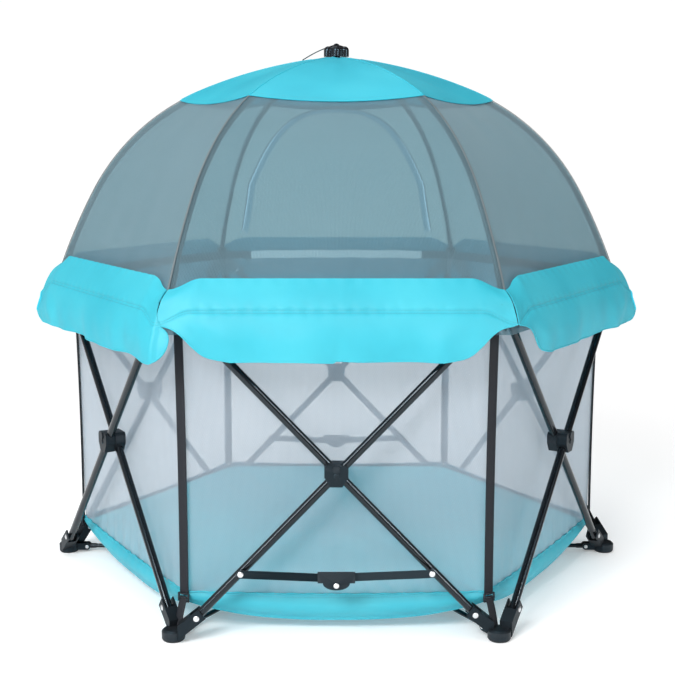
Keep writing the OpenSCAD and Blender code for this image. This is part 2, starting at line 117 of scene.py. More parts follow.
def prv(k):
    return (k - 2) % 6 + 1


def heading(first, i):
    """The i-th of six horizontal directions, the first given in degrees."""
    a = math.radians(first + 60 * (i - 1))
    return np.array([math.cos(a), math.sin(a), 0.0])


def out_dir(i):
    return heading(-90, i)


def along_dir(i):
    return heading(0, i)


def spoke_dir(k):
    return heading(-120, k)


def tau_dir(k):
    a = math.radians(-120 + 60 * (k - 1))
    return np.array([-math.sin(a), math.cos(a), 0.0])


def points(one, two, a, b, z):
    """Points at a along the first direction, b along the second and z up."""
    a, b, z = (v[..., None] for v in np.broadcast_arrays(*(np.asarray(v, float) for v in (a, b, z))))
    return a * one + b * two + z * np.array([0, 0, 1.0])


def on_side(i, x, u, z):
    """Points of side i: x along it, u outwards from the middle of the yard, z up."""
    return points(along_dir(i), out_dir(i), x, u, z)


def on_spoke(k, rho, t, z):
    """Points of corner k: rho outwards, t sideways (anticlockwise from above), z up."""
    return points(spoke_dir(k), tau_dir(k), rho, t, z)


def waves(x, y, seed, octaves=4, scale=1.0):
    """Smooth repeatable unevenness, about -1 to 1."""
    rng = np.random.RandomState(seed)
    total = np.zeros(np.broadcast(x, y).shape)
    size = 0.0
    for o in range(octaves):
        f = scale * 2.0**o
        for _ in range(3):
            a, ph = rng.uniform(0, math.pi), rng.uniform(0, 2 * math.pi)
            w = 0.6**o
            along, across = np.cos(a) * x + np.sin(a) * y, np.sin(a) * x - np.cos(a) * y
            total = total + w * np.sin(f * along + ph + 0.7 * np.sin(f * 0.6 * across + ph * 2))
            size += w
    return total / size * 1.7


def smooth01(t):
    t = np.clip(t, 0, 1)
    return t * t * (3 - 2 * t)


# ---------------------------------------------------------------- materials
def new_mat(name, settings=None):
    """A material with a principled shader, its fixed inputs given by name."""
    m = bpy.data.materials.new(name)
    m.use_nodes = True
    nt = m.node_tree
    nt.nodes.clear()
    out = node(nt, "OutputMaterial")
    b = node(nt, "BsdfPrincipled")
    nt.links.new(b.outputs[0], out.inputs[0])
    for key, value in (settings or {}).items():
        b.inputs[key].default_value = value
    return m, nt, b, out


def node(nt, kind, **settings):
    n = nt.nodes.new("ShaderNode" + kind)
    for k, v in settings.items():
        if k in n.inputs:
            n.inputs[k].default_value = v
        else:
            setattr(n, k, v)
    return n


def coords(nt, kind="Object"):
    return node(nt, "TexCoord").outputs[kind]


def math_node(nt, op, a, b=None, c=None):
    n = node(nt, "Math", operation=op)
    for i, v in enumerate((a, b, c)):
        if v is None:
            continue
        if isinstance(v, (int, float)):
            n.inputs[i].default_value = v
        else:
            nt.links.new(v, n.inputs[i])
    return n.outputs[0]


def mul(nt, a, b):
    return math_node(nt, "MULTIPLY", a, b)


def add(nt, a, b):
    return math_node(nt, "ADD", a, b)


def mad(nt, a, b, c):
    return math_node(nt, "MULTIPLY_ADD", a, b, c)


def wire(nt, b, color=None, rough=None, normal=None):
    for socket, key in ((color, "Base Color"), (rough, "Roughness"), (normal, "Normal")):
        if socket is not None:
            nt.links.new(socket, b.inputs[key])


def ramp(nt, fac, stops):
    n = node(nt, "ValToRGB")
    e = n.color_ramp.elements
    while len(e) < len(stops):
        e.new(0.5)
    for el, (p, col) in zip(e, stops):
        el.position = p
        el.color = (*col, 1)
    nt.links.new(fac, n.inputs[0])
    return n.outputs[0]


def noise(nt, vec, scale, detail=4, rough=0.55):
    n = node(nt, "TexNoise", Scale=scale, Detail=detail, Roughness=rough)
    nt.links.new(vec, n.inputs["Vector"])
    return n.outputs[0]


def bump(nt, height, strength, dist, below=None):
    n = node(nt, "Bump", Strength=strength, Distance=dist)
    nt.links.new(height, n.inputs["Height"])
    if below is not None:
        nt.links.new(below, n.inputs["Normal"])
    return n.outputs[0]


def mix_col(nt, fac, a, b):
    n = node(nt, "Mix", data_type="RGBA", blend_type="MIX")
    for i, v in ((0, fac), (6, a), (7, b)):
        if isinstance(v, (int, float)):
            n.inputs[i].default_value = v
        elif isinstance(v, tuple):
            n.inputs[i].default_value = (*v, 1)
        else:
            nt.links.new(v, n.inputs[i])
    return n.outputs[2]


def mix_shader(nt, fac, one, two):
    n = node(nt, "MixShader")
    if isinstance(fac, float):
        n.inputs[0].default_value = fac
    else:
        nt.links.new(fac, n.inputs[0])
    nt.links.new(one.outputs[0], n.inputs[1])
    nt.links.new(two.outputs[0], n.inputs[2])
    return n


def painted_glow(nt, b, col, lift):
    """Painted glow: emission of a share of the cloth's own colour, set by lift, in place of light falling through a
    thin cloth.
    """
    if lift:
        nt.links.new(col, b.inputs["Emission Color"])
        b.inputs["Emission Strength"].default_value = lift


# a mask of sharp convex edges by pointiness; the materials below make these edges lighter
def convex_edge_mask(nt, lo=0.53, hi=0.62):
    g = node(nt, "NewGeometry")
    return ramp(nt, g.outputs["Pointiness"], [(lo, (0, 0, 0)), (hi, (1, 1, 1))])


COOL = (0.50, 0.80, 1.0, 1)  # bluish specular tint of the black parts: a painted cool reflection
THREAD = (0.05, 0.42, 0.52)


def painted_tube():
    finish = {"Specular IOR Level": 0.25, "Specular Tint": COOL, "Coat Weight": 0.4, "Coat Roughness": 0.07}
    m, nt, b, _ = new_mat("gloss_black_tube", finish)
    v = coords(nt)
    n1 = noise(nt, v, 60, 3)
    fine = noise(nt, v, 900, 2)
    edge_mask = convex_edge_mask(nt)
    col = mix_col(nt, n1, (0.0030, 0.0034, 0.0045), (0.0060, 0.0066, 0.0080))
    # lighter colour on sharp convex edges
    col = mix_col(nt, mul(nt, edge_mask, 0.22), col, (0.05, 0.05, 0.055))
    wire(nt, b, col, mad(nt, n1, 0.10, 0.16), bump(nt, fine, 0.10, 0.0002))
    return m


def moulded(name, dark, light, rough, grain=0.35, spec=0.35):
    m, nt, b, _ = new_mat(name, {"Specular IOR Level": spec, "Specular Tint": COOL})
    v = coords(nt)
    patch = noise(nt, v, 24, 4)
    fine = noise(nt, v, 1400, 3, 0.7)
    edge_mask = convex_edge_mask(nt, 0.52, 0.60)
    col = mix_col(nt, patch, dark, light)
    # lighter colour on sharp convex edges
    col = mix_col(nt, mul(nt, edge_mask, 0.30), col, tuple(min(1, c * 4 + 0.03) for c in light))
    wire(nt, b, col, mad(nt, patch, 0.12, rough - 0.06), bump(nt, fine, grain, 0.0003))
    return m


def steel_rivet():
    m, nt, b, _ = new_mat("rivet_steel", {"Metallic": 1})
    v = coords(nt)
    n1 = noise(nt, v, 320, 3)
    col = mix_col(nt, n1, (0.62, 0.63, 0.65), (0.86, 0.87, 0.88))
    wire(nt, b, col, mad(nt, n1, 0.2, 0.22), bump(nt, noise(nt, v, 1500, 2), 0.15, 0.0002))
    return m


def weave_height(nt, uv, pitch):
    """Plain weave from a uv map in metres."""
    s = 2 * math.pi / pitch
    sep = node(nt, "SeparateXYZ")
    nt.links.new(uv, sep.inputs[0])
    a = math_node(nt, "SINE", mul(nt, sep.outputs[0], s))
    b = math_node(nt, "SINE", mul(nt, sep.outputs[1], s))
    return mad(nt, mul(nt, a, b), 0.5, 0.5), sep


def stitch_mask(nt, sep, along, across, at, width=0.0011, period=0.0052):
    """Dashes of thread along one uv axis, at a value of the other."""
    d = math_node(nt, "ABSOLUTE", math_node(nt, "SUBTRACT", sep.outputs[across], at))
    near = math_node(nt, "LESS_THAN", d, width / 2)
    saw = math_node(nt, "FRACT", math_node(nt, "DIVIDE", sep.outputs[along], period))
    dash = math_node(nt, "LESS_THAN", saw, 0.68)
    return mul(nt, near, dash), near


def cloth(name, deep, mid, light, rough=0.55, glow=0.30, pitch=0.0011, stitches=(), lift=0.0):
    """Coated polyester: woven bump, faintly cloudy colour, lit through from behind, sewn lines at uv heights with
    painted shade in their grooves, and a painted glow set by lift.
    """
    m, nt, b, out = new_mat(name, {"Sheen Weight": 0.02, "Sheen Roughness": 0.4, "Specular IOR Level": 0.75})
    uv = coords(nt, "UV")
    obj = coords(nt)
    height, sep = weave_height(nt, uv, pitch)
    cloud = noise(nt, obj, 7.0, 4, 0.45)
    col = ramp(nt, cloud, [(0.25, deep), (0.50, mid), (0.80, light)])
    col = mix_col(nt, mul(nt, height, 0.08), col, light)
    total = None
    for at in stitches:
        mask, groove = stitch_mask(nt, sep, 0, 1, at)
        # painted shade: the groove along each stitched line is darkened towards the deep colour
        col = mix_col(nt, mul(nt, groove, 0.30), col, deep)
        col = mix_col(nt, mul(nt, mask, 0.75), col, THREAD)
        h = mad(nt, mask, 1.6, mul(nt, groove, -1.2))
        total = h if total is None else add(nt, total, h)
    wire(nt, b, col, mad(nt, cloud, 0.16, rough - 0.08))
    # painted glow: emission of the cloth's own colour, set by lift
    painted_glow(nt, b, col, lift)
    wob = bump(nt, noise(nt, obj, 55, 5, 0.6), 0.16, 0.0012)
    fine = bump(nt, height, 0.30, 0.00025, wob)
    if total is not None:
        fine = bump(nt, total, 0.55, 0.0005, fine)
    wire(nt, b, normal=fine)
    if glow:
        tr = node(nt, "BsdfTranslucent")
        nt.links.new(col, tr.inputs[0])
        nt.links.new(fine, tr.inputs["Normal"])
        nt.links.new(mix_shader(nt, glow, b, tr).outputs[0], out.inputs[0])
    return m


def netting(name, col_a, col_b, cover, tint, pitch=0.0021, glow=0.35, contrast=0.22):
    """Knitted mesh, a hexagonal open weave: cover is the yarn's share, tint what the fuzz in the holes lets through."""
    m, nt, b, out = new_mat(name, {"Roughness": 0.75, "Sheen Weight": 0.2, "Specular IOR Level": 0.25})
    uv = coords(nt, "UV")
    obj = coords(nt)
    sep = node(nt, "SeparateXYZ")
    nt.links.new(uv, sep.inputs[0])
    s = 2 * math.pi / pitch
    u = mul(nt, sep.outputs[0], s)
    v = mul(nt, sep.outputs[1], s)
    a = math_node(nt, "COSINE", u)
    p = math_node(nt, "COSINE", mad(nt, v, 0.866, mul(nt, u, 0.5)))
    q = math_node(nt, "COSINE", mad(nt, v, 0.866, mul(nt, u, -0.5)))
    hole = mad(nt, add(nt, add(nt, a, p), q), 0.222, 0.333)
    cloud = noise(nt, obj, 6, 4, 0.5)
    col = mix_col(nt, cloud, col_a, col_b)
    wire(nt, b, col, normal=bump(nt, math_node(nt, "SUBTRACT", 1.0, hole), 0.25, 0.0003))
    tr = node(nt, "BsdfTranslucent")
    nt.links.new(col, tr.inputs[0])
    yarn = mix_shader(nt, glow, b, tr)
    # seen edge-on, less of the holes shows
    lw = node(nt, "LayerWeight", Blend=0.35)
    fac = add(nt, cover, mul(nt, math_node(nt, "SUBTRACT", 0.5, hole), contrast))
    fac = add(nt, fac, mul(nt, lw.outputs["Facing"], 0.25))
    fac = math_node(nt, "MINIMUM", fac, 0.97)
    clear = node(nt, "BsdfTransparent")
    clear.inputs[0].default_value = (*tint, 1)
    nt.links.new(mix_shader(nt, fac, clear, yarn).outputs[0], out.inputs[0])
    return m


def webbing(name, dark, light, pitch=0.0022, lift=0.0):
    """Woven strap with slanting ribs across its width, and a painted glow of its own colour set by lift."""
    m, nt, b, _ = new_mat(name, {"Roughness": 0.6, "Specular IOR Level": 0.3})
    uv = coords(nt, "UV")
    sep = node(nt, "SeparateXYZ")
    nt.links.new(uv, sep.inputs[0])
    s = 2 * math.pi / pitch
    zig = math_node(nt, "ABSOLUTE", math_node(nt, "SINE", mul(nt, sep.outputs[0], s * 0.25)))
    rise = mul(nt, sep.outputs[1], s)
    rib = math_node(nt, "SINE", add(nt, rise, mul(nt, zig, 2.5)))
    h = mad(nt, rib, 0.5, 0.5)
    cloud = noise(nt, coords(nt), 30, 4)
    col = mix_col(nt, h, dark, light)
    col = mix_col(nt, mul(nt, cloud, 0.4), col, dark)
    # painted glow: emission of the strap's own colour, set by lift
    painted_glow(nt, b, col, lift)
    wire(nt, b, col, normal=bump(nt, h, 0.6, 0.0004))
    return m


TUBE = painted_tube()
PLASTIC = moulded("satin_black_plastic", (0.005, 0.0055, 0.0065), (0.009, 0.0095, 0.011), 0.48)
BAR_STEEL = moulded("satin_black_steel", (0.003, 0.0055, 0.0075), (0.005, 0.0085, 0.011), 0.40, 0.15, 0.18)
CROWN = moulded("gloss_black_plastic", (0.008, 0.008, 0.009), (0.014, 0.014, 0.016), 0.16, 0.08)
RUBBER = moulded("foot_rubber", (0.02, 0.02, 0.02), (0.035, 0.035, 0.036), 0.75, 0.6)
RIVET = steel_rivet()
CYAN = (0.022, 0.55, 0.68), (0.034, 0.60, 0.73), (0.055, 0.65, 0.77)
FLAP_LINES = FLAP_SEAM - 0.002, FLAP_SEAM + 0.004
CAP_COLOURS = (0.006, 0.47, 0.61), (0.012, 0.52, 0.66), (0.03, 0.57, 0.70)
TUB_COLOURS = (0.02, 0.47, 0.60), (0.035, 0.52, 0.65), (0.06, 0.57, 0.69)
MAT_COLOURS = (0.002, 0.69, 0.81), (0.004, 0.74, 0.86), (0.010, 0.79, 0.90)
CAP_CLOTH = cloth("cap_cloth", *CAP_COLOURS, stitches=(0.012,), glow=0.25)
FLAP_CLOTH = cloth("valance_cloth", *CYAN, stitches=FLAP_LINES, glow=0.35)
# copy of the valance cloth with a painted glow, standing in for light falling through the back flaps from behind
FLAP_BACKLIT_GLOW = cloth("valance_cloth_painted_backlight", *CYAN, stitches=FLAP_LINES, glow=0.35, lift=0.36)
TUB_CLOTH = cloth("tub_cloth", *TUB_COLOURS, stitches=(0.006,), glow=0.20)
MAT_CLOTH = cloth("mat_cloth", *MAT_COLOURS, glow=0, pitch=0.0016, rough=0.7)
DOME_NET = netting("dome_mesh", (0.145, 0.240, 0.285), (0.175, 0.270, 0.315), 0.57, (0.72, 0.95, 0.99))
WALL_NET = netting("wall_mesh", (0.50, 0.55, 0.62), (0.56, 0.61, 0.68), 0.46, (0.97, 0.99, 1.0))
STRAP = webbing("dark_webbing", (0.003, 0.005, 0.009), (0.009, 0.012, 0.020))
HEM_DARK = webbing("dark_tape", (0.05, 0.06, 0.08), (0.08, 0.10, 0.125), 0.0016)
# pale tape, with a painted glow of its own colour
HEM_PALE_GLOW = webbing("pale_tape_glow", (0.62, 0.66, 0.70), (0.78, 0.81, 0.84), 0.0016, lift=0.35)
SEAM_TAPE = webbing("seam_tape", (0.10, 0.13, 0.14), (0.17, 0.20, 0.215), 0.0016)
# zip tape, with a strong painted glow of its own colour
ZIP_TAPE_GLOW = webbing("zip_tape", (0.44, 0.58, 0.70), (0.56, 0.70, 0.82), 0.0018, lift=0.75)
CORD = webbing("cord", (0.008, 0.03, 0.04), (0.02, 0.07, 0.08), 0.0012)


# ---------------------------------------------------------------- mesh building
def unit(v):
    return v / np.maximum(np.linalg.norm(v, axis=-1, keepdims=True), 1e-12)


def run_length(path):
    """Distance along a path at each of its points."""
    return np.concatenate([[0], np.cumsum(np.linalg.norm(np.diff(path, axis=0), axis=1))])


def grid_edge(idx):
    """The indices around a grid's edge, in order."""
    return list(idx[:, 0]) + list(idx[-1, 1:]) + list(idx[-2::-1, -1]) + list(idx[0, -2:0:-1])


def grid_quads(idx):
    """The quads of a grid of indices."""
    return np.stack([idx[:-1, :-1], idx[1:, :-1], idx[1:, 1:], idx[:-1, 1:]], -1).reshape(-1, 4)


def grid_normals(p):
    """Unit normals of a grid of points."""
    return unit(np.cross(np.gradient(p, axis=0), np.gradient(p, axis=1)))


def outward(p, up):
    """Unit normals of a grid of points, flipped if needed to point away from the middle and up."""
    n = grid_normals(p)
    ref = p.copy()
    ref[..., 2] = up
    s = np.sign((n * ref).sum())
    return n * (s if s else 1)


def arc_uv(p):
    """uv in metres along the two grid directions."""
    du = np.linalg.norm(np.diff(p, axis=0), axis=-1)
    dv = np.linalg.norm(np.diff(p, axis=1), axis=-1)
    u = np.concatenate([np.zeros((1, p.shape[1])), np.cumsum(du, 0)])
    v = np.concatenate([np.zeros((p.shape[0], 1)), np.cumsum(dv, 1)], axis=1)
    u = np.broadcast_to(u.mean(axis=1, keepdims=True), u.shape)
    return np.stack([u, v], -1)


def scene_object(name, data):
    o = bpy.data.objects.new(name, data)
    bpy.context.scene.collection.objects.link(o)
    return o


def object_from(name, verts, faces, mat, loop_n, loop_uv):
    """A smooth-shaded mesh object with normals and uv given per face corner."""
    me = bpy.data.meshes.new(name)
    me.from_pydata([tuple(v) for v in verts], [], faces)
    me.update()
    me.materials.append(mat)
    me.polygons.foreach_set("use_smooth", [True] * len(me.polygons))
    layer = me.uv_layers.new(name="UVMap")
    layer.data.foreach_set("uv", np.asarray(loop_uv, np.float32).ravel())
    if loop_n is not None:
        me.normals_split_custom_set([tuple(v) for v in loop_n])
    return scene_object(name, me)


def sheet(name, grids, mat, thick, body):
    """One object of grids, each (points, normals, uv) of nc x nr. With a thickness it is a closed skin."""
    V, F, LN, LUV = [], [], [], []
    base = 0
    for p, n, uv in grids:
        nc, nr = p.shape[:2]
        idx = np.arange(nc * nr).reshape(nc, nr)
        front = (p + n * thick / 2).reshape(-1, 3)
        V.extend(front)
        nn, uu = n.reshape(-1, 3), uv.reshape(-1, 2)
        quads = grid_quads(idx)
        # wind the faces to agree with the normals
        t = p.reshape(-1, 3)
        q0 = quads[len(quads) // 2]
        fn = np.cross(t[q0[1]] - t[q0[0]], t[q0[2]] - t[q0[0]])
        if (fn * nn[q0[0]]).sum() < 0:
            quads = quads[:, ::-1]
        F.extend((quads + base).tolist())
        LN.extend(nn[quads.ravel()])
        LUV.extend(uu[quads.ravel()])
        if thick:
            back = (p - n * thick / 2).reshape(-1, 3)
            off = base + nc * nr
            V.extend(back)
            F.extend((quads[:, ::-1] + off).tolist())
            LN.extend(-nn[quads[:, ::-1].ravel()])
            LUV.extend(uu[quads[:, ::-1].ravel()])
            ring = grid_edge(idx)
            for i0, i1 in zip(ring, ring[1:] + ring[:1]):
                quad = [i0 + base, i1 + base, i1 + off, i0 + off]
                pts = [np.asarray(V[k]) for k in quad]
                m = np.cross(pts[1] - pts[0], pts[2] - pts[0])
                L = np.linalg.norm(m)
                m = m / L if L > 1e-14 else nn[i0]
                mid = p.reshape(-1, 3).mean(0)
                if (m * (pts[0] - mid)).sum() < 0:
                    quad, m = quad[::-1], -m
                F.append(quad)
                for k in quad:
                    LN.append(m)
                    LUV.append(uu[(k - base) % (nc * nr)])
            base += 2 * nc * nr
        else:
            base += nc * nr
    o = object_from(name, V, F, mat, LN, LUV)
    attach(o, body)
    return o


def fix_winding(o):
    """Turns all faces of a closed piece outwards."""
    bm = bmesh.new()
    bm.from_mesh(o.data)
    bmesh.ops.recalc_face_normals(bm, faces=bm.faces)
    bm.to_mesh(o.data)
    bm.free()


def closed_piece(name, verts, faces, mat, loop_uv, body):
    """A closed piece that keeps its sharp edges and rides on a body."""
    o = object_from(name, verts, faces, mat, None, loop_uv)
    fix_winding(o)
    o.data.set_sharp_from_angle(angle=math.radians(50))
    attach(o, body)
    return o


def swept_faces(m, n):
    """Faces of a profile of n points swept along m: the quads row by row, then both ends."""
    F = []
    for i in range(m - 1):
        for j in range(n):
            k = (j + 1) % n
            F.append([i * n + j, i * n + k, (i + 1) * n + k, (i + 1) * n + j])
    return F + [list(range(n))[::-1], [(m - 1) * n + j for j in range(n)]]


def ribbon(name, path, across, width, thick, mat, body):
    """A flat strap along a path; across is the width direction at each point. Closed, with rounded edges."""
    path = np.asarray(path, float)
    across = unit(np.broadcast_to(np.asarray(across, float), path.shape))
    nor = unit(np.cross(across, unit(np.gradient(path, axis=0))))
    w, t = width / 2, thick / 2
    # half of the cross-section: flat, with rounded edges
    half = [(-w, -t * 0.35), (-w + t * 0.6, -t), (-w * 0.5, -t), (0, -t)]
    low = half + [(-a, b) for a, b in half[-2::-1]]
    prof = low + [(a, -b) for a, b in low[::-1]]
    V, UV = [], []
    for p, wide, up, s in zip(path, across, nor, run_length(path)):
        for a, b in prof:
            V.append(p + wide * a + up * b)
            UV.append((a, s))
    F = swept_faces(len(path), len(prof))
    return closed_piece(name, V, F, mat, [UV[x] for q in F for x in q], body)


def tube_along(name, path, radius, mat, body, sides=8):
    """A round cord or wire along a path, closed at its ends."""
    path = np.asarray(path, float)
    tan = unit(np.gradient(path, axis=0))
    ref = np.array([0.0, 0, 1]) if abs(tan[0][2]) < 0.9 else np.array([1.0, 0, 0])
    a = np.cross(tan[0], ref)
    a /= np.linalg.norm(a)
    V, LUV = [], []
    s = run_length(path)
    m = len(path)
    for i in range(m):
        a = a - tan[i] * (a @ tan[i])
        a /= np.linalg.norm(a)
        b = np.cross(tan[i], a)
        for j in range(sides):
            t = 2 * math.pi * j / sides
            V.append(path[i] + (a * math.cos(t) + b * math.sin(t)) * radius)
    for i in range(m - 1):
        for j in range(sides):
            u0, u1 = j * radius * 0.5, (j + 1) * radius * 0.5
            LUV += [(u0, s[i]), (u1, s[i]), (u1, s[i + 1]), (u0, s[i + 1])]
    LUV += [(0, 0)] * (2 * sides)
    return closed_piece(name, V, swept_faces(m, sides), mat, LUV, body)


# ---------------------------------------------------------------- the hard parts: materials on the CAD nodes
def polish(o, base):
    """Gives a CAD node its materials and smooth shading between its sharp edges."""
    me = o.data
    me.materials.clear()
    for m in base if isinstance(base, (list, tuple)) else (base,):
        me.materials.append(m)
    me.polygons.foreach_set("use_smooth", [True] * len(me.polygons))
    me.set_sharp_from_angle(angle=math.radians(32))


def centres_of(o):
    me = o.data
    c = np.zeros(len(me.polygons) * 3, np.float32)
    me.polygons.foreach_get("center", c)
    return c.reshape(-1, 3).astype(float)


def side_xyz(i, c):
    """x along side i, y inwards from its tube plane, z."""
    return c @ along_dir(i), APO - c @ out_dir(i), c[:, 2]


def spoke_xyz(k, c):
    """Outwards, sideways and up at corner k."""
    return c @ spoke_dir(k), c @ tau_dir(k), c[:, 2]


def mark(o, rules):
    """Gives faces a material slot; rules are pairs of a boolean array over the faces and a slot number."""
    ids = np.zeros(len(o.data.polygons), np.int32)
    o.data.polygons.foreach_get("material_index", ids)
    for r, i in rules:
        ids[r] = i
    o.data.polygons.foreach_set("material_index", ids)


SLOT_PLASTIC, SLOT_RIVET = 1, 2  # slot 0 is the steel
FOOT_RIVET, FOOT_RUBBER = 1, 2  # slot 0 is the moulded bracket
HALF_LAYER = 0.009  # the outer and the inner tube lie this far to each side of a side's middle plane


def near(x, z, px, pz, r):
    return (x - px) ** 2 + (z - pz) ** 2 < r * r


for i in range(1, 7):
    for lay, nm in ((-1, f"tube_a{i}"), (1, f"tube_b{i}")):
        o = NODE[nm]
        polish(o, [TUBE, PLASTIC, RIVET])
        x, y, z = side_xyz(i, centres_of(o))
        inside = ((x**2 + (z - HUB) ** 2) < 0.03**2) & (z > HUB - 0.022) & (z < HUB + 0.02) & (abs(x) < 0.0225)
        rules = [(inside, SLOT_PLASTIC)]
        if i in (1, 4):
            proud = y < -0.0270 if lay < 0 else y < -0.0233
            rules.append((near(x, z, LOCK_X * lay, LOCK_Z, 0.0062) & proud, SLOT_RIVET))
        mark(o, rules)
for k in range(1, 7):
    for low, nm in ((True, f"foot_{k}"), (False, f"top_{k}")):
        o = NODE[nm]
        polish(o, [PLASTIC, RIVET, RUBBER])
        c = centres_of(o)
        rules = []
        zz = LOW if low else TOP
        for i, px in ((k, -RUN), (prv(k), RUN)):
            x, y, z = side_xyz(i, c)
            outer = (px < 0) == low
            yc = -HALF_LAYER if outer else HALF_LAYER
            rules.append((near(x, z, px, zz, 0.0058) & (abs(y - yc) > 0.01262), FOOT_RIVET))
        rho, t, z = spoke_xyz(k, c)
        if low:
            rules.append((near(rho, z, R - 0.042, STRUT_Z, 0.0044) & (abs(t) > 0.00942), FOOT_RIVET))
            rules.append((z < 0.0041, FOOT_RUBBER))
        else:
            rules.append((near(rho, z, *POLE_FOOT, 0.0044) & (abs(t) > 0.01082), FOOT_RIVET))
        mark(o, rules)
for nm in NODE:
    o = NODE[nm]
    if nm.startswith(("base_strut", "pole_")):
        polish(o, TUBE)
    elif nm == "centre_hub":
        polish(o, PLASTIC)
    elif nm == "crown":
        polish(o, CROWN)
    elif nm.startswith("lock_bar"):
        polish(o, [BAR_STEEL, PLASTIC, RIVET])
        if nm in ("lock_bar_fl", "lock_bar_bl"):
            i = 1 if nm[-2] == "f" else 4
            x, y, z = side_xyz(i, centres_of(o))
            latch = (y < -0.0275) | (z > LOCK_Z + 0.0035)
            head = near(x, z, 0, LOCK_Z - 0.019, 0.0052) & (y < -0.03372)
            mark(o, [(latch, SLOT_PLASTIC), (head, SLOT_RIVET)])


def gather(piece):
    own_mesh(piece)


def gather_to_pole(piece):
    gather(piece)


def gather_to_corner(piece):
    """Gives the piece its own copy of its mesh."""
    gather(piece)


def two_halves(i, columns):
    """The left and right half of a grid over side i, each with its corner; they share the middle column."""
    mid = columns // 2
    return (slice(0, mid + 1), i, "l"), (slice(mid, columns), nxt(i), "r")


# ---------------------------------------------------------------- canopy mesh, cap and seams
GAP = 0.0075  # from a pole's middle line to the cloth
CAP_TURN = 41.5  # where along the poles the cap's lower edge meets them, in degrees turned
NS = 24  # columns across half a gore


def gore_surface(i, s, turn, out, sag=1.0):
    """Point of gore i: s from -1 (corner i) to 1 (next corner), turn along the pole."""
    rho, z = pole(turn, out)
    x = s * rho / 2
    u = rho * C30
    # the cloth is pulled tight between the poles and draws in a little towards the middle
    k = np.radians(HEADING - turn)
    depth = sag * 0.018 * rho * (1 - s**2) * smooth01((TURN_END - turn) / 12) * (0.4 + 0.6 * smooth01((turn + 6) / 14))
    return on_side(i, x, u - depth * np.sin(k), z - depth * np.cos(k))


def gore_halves(i, s_grid, t_grid, out, sag=1.0, extra=None):
    p = gore_surface(i, s_grid, t_grid, out, sag)
    n = outward(p, 1.0)
    if extra is not None:
        p = p + n * extra[..., None]
        n = outward(p, 1.0)
    uv = arc_uv(p)
    mid = s_grid.shape[0] // 2
    return (p[: mid + 1], n[: mid + 1], uv[: mid + 1]), (p[mid:], n[mid:], uv[mid:])


halves = {}
for i in range(1, 7):
    s = np.linspace(-1, 1, 2 * NS + 1)[:, None]
    t = np.linspace(-3.2, CAP_TURN + 1.0, 46)[None, :]
    S, T = np.broadcast_arrays(s, t)
    wr = waves(S * 2.2, T * 0.06, 40 + i, 3, 1.6) * 0.0016 * (1 - S**2)
    # soft pulls that run up from the lower edge
    wr = wr + 0.0016 * np.sin(S * 17 + i) * np.exp(-(T + 2) / 6.0) * (1 - S**2)
    halves[("net", i)] = gore_halves(i, S, T, GAP + 0.0004, 1.0, wr)
    # cap: the lower edge dips a little at the middle of each panel
    r = np.linspace(0, 1, 30)[None, :]
    low_edge = CAP_TURN - 1.6 * (1 - s**2)
    T2 = low_edge + (TURN_END + 0.15 - low_edge) * r
    S2 = np.broadcast_to(s, T2.shape)
    wr = waves(S2 * 3, T2 * 0.1, 60 + i, 3, 1.4) * 0.0012 * (1 - S2**2) * smooth01((T2 - CAP_TURN + 1.6) / 4)
    halves[("cap", i)] = gore_halves(i, S2, T2, GAP + 0.0026, 1.0, wr)

net, cap = {}, {}
for k in range(1, 7):
    net[k] = sheet(f"dome_net_{k}", [halves[("net", prv(k))][1], halves[("net", k)][0]], DOME_NET, 0, f"pole_{k}")
    cap[k] = sheet(f"dome_cap_{k}", [halves[("cap", prv(k))][1], halves[("cap", k)][0]], CAP_CLOTH, 0.0012, f"pole_{k}")
    # bound seam over the pole
    t = np.linspace(-1.0, CAP_TURN + 0.6, 60)
    rho, z = pole(t, GAP + 0.0016)
    ribbon(f"seam_tape_{k}", on_spoke(k, rho, 0, z), tau_dir(k), 0.0040, 0.0012, SEAM_TAPE, f"pole_{k}")
    t = np.linspace(CAP_TURN + 0.5, TURN_END - 1.0, 30)
    rho, z = pole(t, GAP + 0.0028)
    ribbon(f"cap_seam_{k}", on_spoke(k, rho, 0, z), tau_dir(k), 0.005, 0.0022, CAP_CLOTH, f"pole_{k}")
    for piece in (net[k], cap[k]):
        gather_to_pole(piece)
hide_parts("canopy_mesh")
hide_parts("canopy_cap")

# ---------------------------------------------------------------- the back panel's arched zip
def arch_point(x_along):
    """Arch as (x, turn) by a parameter from -1 (left foot) to 1 (right foot)."""
    ang = np.asarray(x_along) * math.pi / 2
    x = 0.236 * np.sign(np.sin(ang)) * np.abs(np.sin(ang)) ** 0.80
    t = 2.4 + 37.2 * np.abs(np.cos(ang)) ** 2.45
    return x, t


def back_point(x, t, out):
    rho, _ = pole(t, GAP)
    s = np.clip(x / (rho / 2), -1, 1)
    return gore_surface(4, -s, t, out)


def arch_strip(name, inset0, inset1, out, thick, mat, lo, hi, body, count=70):
    a = np.linspace(lo, hi, count)
    x, t = arch_point(a)
    mid = back_point(x, t, out)
    tan = unit(np.gradient(mid, axis=0))
    nor = unit(back_point(x, t, out + 0.004) - mid)
    side = np.cross(nor, tan)
    cols = np.stack([mid + side * w for w in np.linspace(inset0, inset1, 5)], 0)
    n = np.broadcast_to(nor, cols.shape)
    return sheet(name, [(cols, n.copy(), arc_uv(cols)[..., ::-1])], mat, thick, body)


